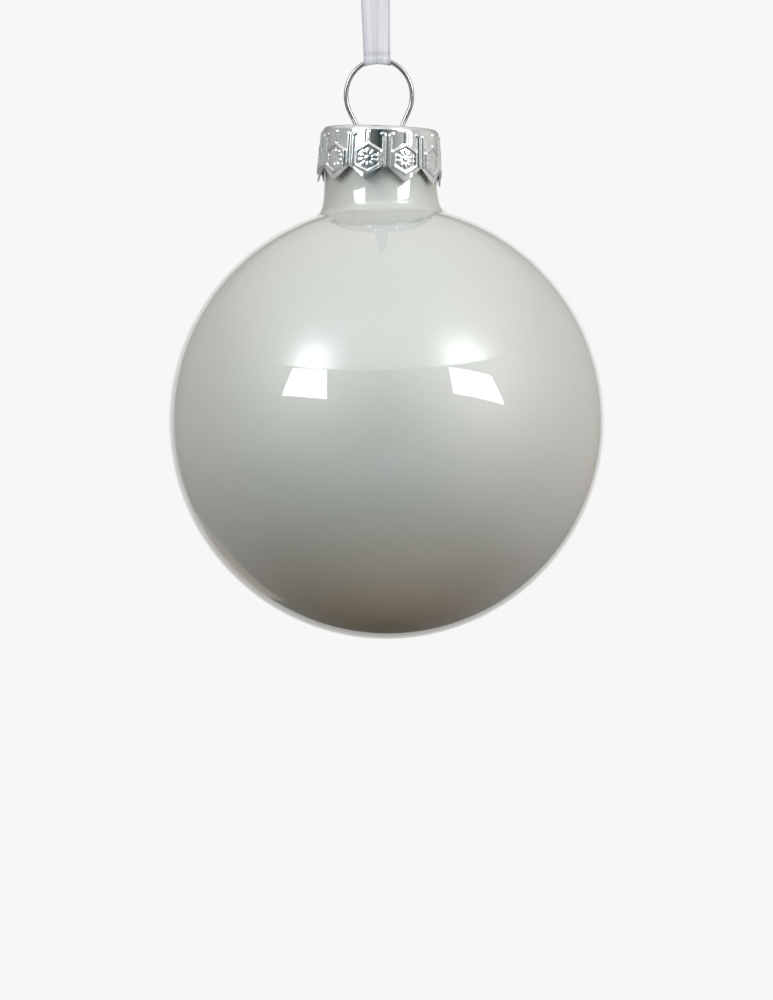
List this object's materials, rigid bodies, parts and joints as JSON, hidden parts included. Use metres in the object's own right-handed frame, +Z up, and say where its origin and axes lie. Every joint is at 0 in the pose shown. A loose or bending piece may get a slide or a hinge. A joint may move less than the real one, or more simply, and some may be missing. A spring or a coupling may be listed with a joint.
{
  "type": "glass ball ornament",
  "caption": "Blown glass ball ornament with a pearl lining, a stamped crown cap on a spring wire ring, and a sheer ribbon loop tied in a knot.",
  "frame": {"origin": "where the ribbon loop bears on the twig or hook that holds it, on the loop's inner side at its top", "axes": "+Z up along the hanging line and the ball's neck, +Y away from the viewer along the hole through the hanger's ring, +X to the right"},
  "size_m": [0.08, 0.08, 0.2127],
  "materials": {
    "clear_glass": "fire-polished, glossy",
    "pearl_lacquer": "pearl-white lacquer, seen through the glass",
    "cap_metal": "bright plated sheet",
    "spring_wire": "drawn bright wire",
    "sheer_ribbon": "woven sheer ribbon, silver grey"
  },
  "bodies": {
    "ribbon": {"ribbon_loop": "sheer_ribbon", "ribbon_knot": "sheer_ribbon"},
    "hanger": {"hanger_wire": "spring_wire"},
    "cap": {"crown_cap": "cap_metal"},
    "ball": {"glass_ball": "clear_glass", "glass_dome": "clear_glass", "glass_neck": "clear_glass", "pearl_lining": "pearl_lacquer"}
  },
  "joints": [
    {"name": "ring_swing", "type": "hinge", "parent": "ribbon", "child": "hanger", "pos_m": [0, 0, -0.09], "axis": [1, 0, 0], "range_deg": [-60, 60]},
    {"name": "cap_rock", "type": "hinge", "parent": "hanger", "child": "cap", "pos_m": [0, 0, -0.10253], "axis": [1, 0, 0], "range_deg": [-8, 8]},
    {"name": "cap_pull", "type": "slide", "parent": "cap", "child": "ball", "axis": [0, 0, -1], "range_m": [0, 0.024]}
  ]
}
